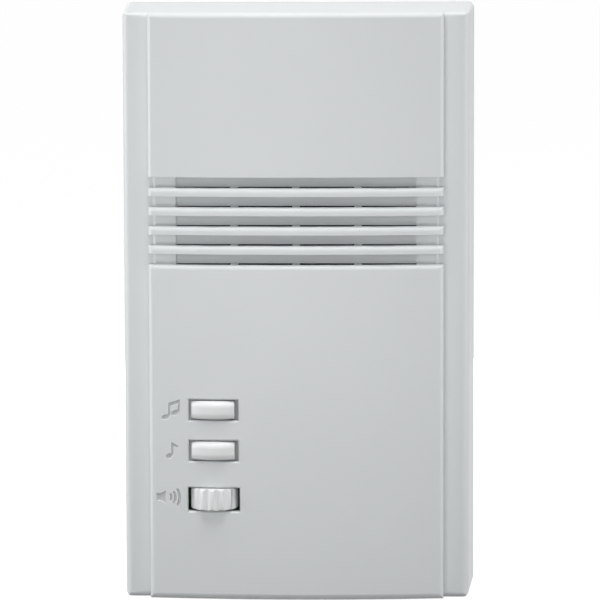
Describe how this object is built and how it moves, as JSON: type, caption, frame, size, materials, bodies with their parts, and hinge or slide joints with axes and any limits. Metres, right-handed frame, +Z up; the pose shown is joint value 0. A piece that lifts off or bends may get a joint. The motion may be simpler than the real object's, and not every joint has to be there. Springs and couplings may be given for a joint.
{
  "type": "doorbell chime box",
  "caption": "Wall-hung battery door chime: deep drafted case with a bowed panel, louvred sound outlet, tune push buttons and a volume thumbwheel, with loudspeaker and board inside.",
  "frame": {"origin": "middle of the back plate's wall face", "axes": "+Z up the wall, +X to the viewer's right, +Y from the front back into the wall"},
  "size_m": [0.0954, 0.0417, 0.1606],
  "materials": {
    "case_plastic": "fine moulded satin",
    "button_plastic": "moulded satin, a shade lighter than the case",
    "wheel_plastic": "moulded satin",
    "black_plastic": "moulded",
    "screw_steel": "zinc plated",
    "spring_steel": "nickel plated",
    "plated_steel": "plated pressing",
    "spring_brass": "rolled",
    "carbon_wafer": "paper laminate with a carbon track",
    "grille_fabric": "open black weave",
    "gasket_foam": "foam",
    "surround_rubber": "treated cloth roll",
    "spider_fabric": "stiffened weave",
    "cone_paper": "pressed pulp",
    "coil_copper": "enamelled copper wire",
    "ferrite": "sintered",
    "board_laminate": "green solder mask",
    "capacitor_sleeve": "shrink sleeve",
    "lead_sleeve": "vinyl",
    "antenna_sleeve": "vinyl",
    "cell_wrap": "plain printed film on a metal can"
  },
  "bodies": {
    "case": {"front_cover": "case_plastic", "rear_housing": "case_plastic", "switch_bodies": "black_plastic", "melody_chip": "black_plastic", "cover_screws": "screw_steel", "speaker_screws": "screw_steel", "board_screws": "screw_steel", "wheel_pin": "screw_steel", "battery_springs": "spring_steel", "battery_contacts": "spring_steel", "speaker_basket": "plated_steel", "speaker_top_plate": "plated_steel", "speaker_yoke": "plated_steel", "crystal": "plated_steel", "speaker_terminals": "spring_brass", "volume_track": "carbon_wafer", "grille_cloth": "grille_fabric", "speaker_gasket": "gasket_foam", "speaker_surround": "surround_rubber", "speaker_spider": "spider_fabric", "speaker_magnet": "ferrite", "main_board": "board_laminate", "rf_receiver": "board_laminate", "capacitors": "capacitor_sleeve", "speaker_leads": "lead_sleeve", "battery_leads": "lead_sleeve", "antenna_wire": "antenna_sleeve", "batteries": "cell_wrap"},
    "upper_button": {"tune_button_upper": "button_plastic", "switch_plunger_upper": "black_plastic"},
    "lower_button": {"tune_button_lower": "button_plastic", "switch_plunger_lower": "black_plastic"},
    "wheel": {"volume_wheel": "wheel_plastic", "wheel_wiper": "spring_brass"},
    "door": {"battery_door": "case_plastic"},
    "cone": {"speaker_cone": "cone_paper", "dust_cap": "cone_paper", "voice_coil": "coil_copper"}
  },
  "joints": [
    {"name": "upper_button_press", "type": "slide", "parent": "case", "child": "upper_button", "axis": [0, 1, 0], "range_m": [0, 0.0005], "stiffness_N_per_m": 1200, "springref_m": -0.0004},
    {"name": "lower_button_press", "type": "slide", "parent": "case", "child": "lower_button", "axis": [0, 1, 0], "range_m": [0, 0.0005], "stiffness_N_per_m": 1200, "springref_m": -0.0004},
    {"name": "wheel_turn", "type": "hinge", "parent": "case", "child": "wheel", "pos_m": [-0.02205, -0.03533, -0.05135], "axis": [0, 0, 1], "range_deg": [-70, 70]},
    {"name": "door_swing", "type": "hinge", "parent": "case", "child": "door", "pos_m": [0, -0.0018, -0.014], "axis": [1, 0, 0], "range_deg": [0, 90]},
    {"name": "cone_travel", "type": "slide", "parent": "case", "child": "cone", "axis": [0, 1, 0], "range_m": [-0.0005, 0.0005], "stiffness_N_per_m": 1500}
  ]
}
